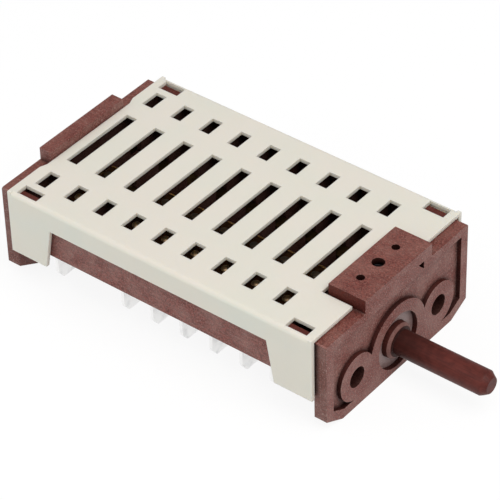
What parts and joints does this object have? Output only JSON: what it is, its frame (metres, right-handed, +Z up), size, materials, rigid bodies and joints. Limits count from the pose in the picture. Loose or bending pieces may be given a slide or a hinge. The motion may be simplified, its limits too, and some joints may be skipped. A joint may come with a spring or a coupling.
{
  "type": "oven selector switch",
  "caption": "Rotary cam switch for an oven: slotted cover clipped over a moulded case with blade terminals, two screw holes in its front plate and a control shaft that clicks round.",
  "frame": {"origin": "on the control shaft's axis, in the plane of the front mounting face", "axes": "+X along the control shaft, out of the panel; +Z up, towards the slotted cover; -Y towards the left row of blades"},
  "size_m": [0.1084, 0.051, 0.0258],
  "materials": {
    "thermoset": "matt moulded thermoset with a fine rough grain, brown-red",
    "cover_plastic": "satin moulded plastic, cream white",
    "shaft_plastic": "smooth moulded plastic, dark red-brown",
    "cam_plastic": "matt moulded plastic, dark brown",
    "tinned_metal": "bright tinned sheet, stamped edges",
    "bronze": "bright rolled spring strip",
    "silver": "bright silver, slightly domed",
    "spring_steel": "drawn wire and ground pin"
  },
  "bodies": {
    "case": {"case_base": "thermoset", "front_plate": "thermoset", "cover": "cover_plastic", "detent_spring": "spring_steel", "bus_bar_left": "tinned_metal", "bus_bar_right": "tinned_metal", "terminal_left_1": "tinned_metal", "terminal_left_2": "tinned_metal", "terminal_left_3": "tinned_metal", "terminal_left_4": "tinned_metal", "terminal_left_5": "tinned_metal", "terminal_left_6": "tinned_metal", "terminal_left_8": "tinned_metal", "terminal_right_1": "tinned_metal", "terminal_right_2": "tinned_metal", "terminal_right_3": "tinned_metal", "terminal_right_4": "tinned_metal", "terminal_right_5": "tinned_metal", "terminal_right_6": "tinned_metal", "terminal_right_8": "tinned_metal", "contact_spring_left_1": "bronze", "contact_spring_left_2": "bronze", "contact_spring_left_3": "bronze", "contact_spring_left_4": "bronze", "contact_spring_left_5": "bronze", "contact_spring_left_6": "bronze", "contact_spring_left_8": "bronze", "contact_spring_right_1": "bronze", "contact_spring_right_2": "bronze", "contact_spring_right_3": "bronze", "contact_spring_right_4": "bronze", "contact_spring_right_5": "bronze", "contact_spring_right_6": "bronze", "contact_spring_right_8": "bronze", "moving_contacts_left": "silver", "moving_contacts_right": "silver", "fixed_contacts_left": "silver", "fixed_contacts_right": "silver", "spring_rivets_left": "silver", "spring_rivets_right": "silver"},
    "rotor": {"control_shaft": "shaft_plastic", "detent_wheel": "cam_plastic", "cam_1": "cam_plastic", "cam_2": "cam_plastic", "cam_3": "cam_plastic", "cam_4": "cam_plastic", "cam_5": "cam_plastic", "cam_6": "cam_plastic", "cam_8": "cam_plastic", "spacer_7": "cam_plastic", "spacer_9": "cam_plastic"},
    "plunger": {"detent_plunger": "spring_steel"}
  },
  "joints": [
    {"name": "selector_turn", "type": "hinge", "parent": "case", "child": "rotor", "pos_m": [0, 0, 0], "axis": [1, 0, 0], "continuous": true},
    {"name": "detent_lift", "type": "slide", "parent": "case", "child": "plunger", "axis": [0, 0, 1], "range_m": [0, 0.0009], "stiffness_N_per_m": 1000, "springref_m": -0.002, "deforming": ["detent_spring"]}
  ]
}
